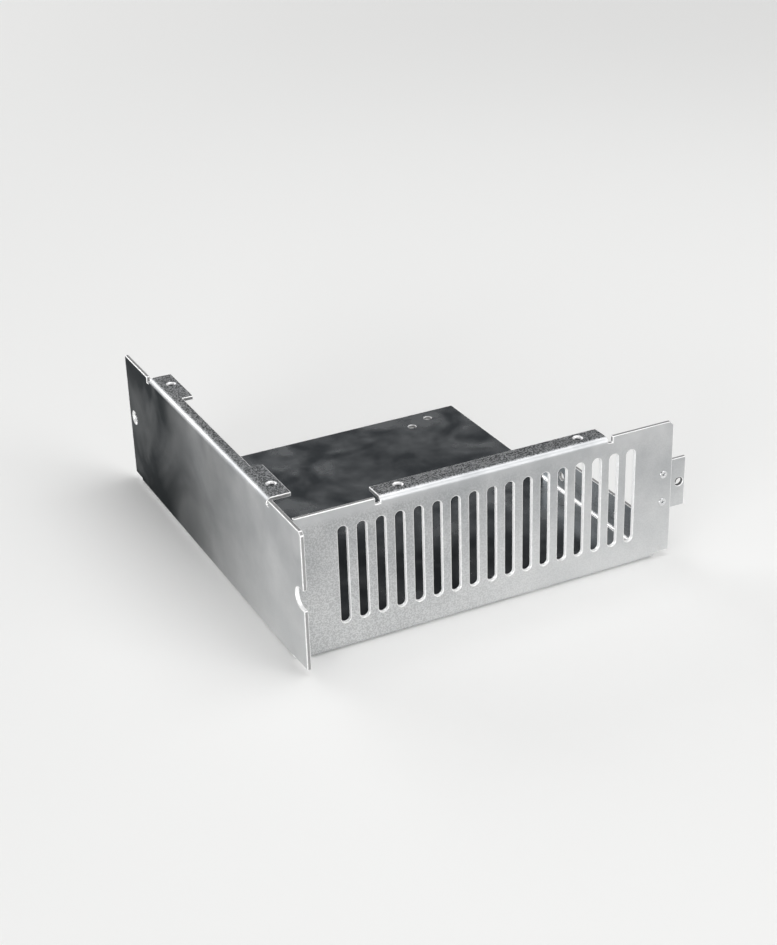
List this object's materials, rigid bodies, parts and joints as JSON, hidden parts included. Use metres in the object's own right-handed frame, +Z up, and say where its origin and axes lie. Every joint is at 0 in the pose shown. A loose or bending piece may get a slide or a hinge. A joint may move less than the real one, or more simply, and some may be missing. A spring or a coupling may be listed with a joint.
{
  "type": "sheet metal chassis",
  "caption": "Open corner chassis folded from plated steel sheet: base, plain side wall, slotted vent wall, inward screw flanges, low lip and riveted mounting tab.",
  "frame": {"origin": "centre of the envelope, at the underside of the base", "axes": "+Z up from the base, +X along the slotted front wall away from the plain side wall, +Y from the slotted wall to the open rear"},
  "size_m": [0.156, 0.1678, 0.0538],
  "materials": {
    "plated_sheet": "zinc plated, satin",
    "rivet_steel": "zinc plated, smooth"
  },
  "bodies": {
    "root": {"folded_chassis": "plated_sheet", "mounting_tab": "plated_sheet", "tab_rivets": "rivet_steel"}
  },
  "joints": []
}
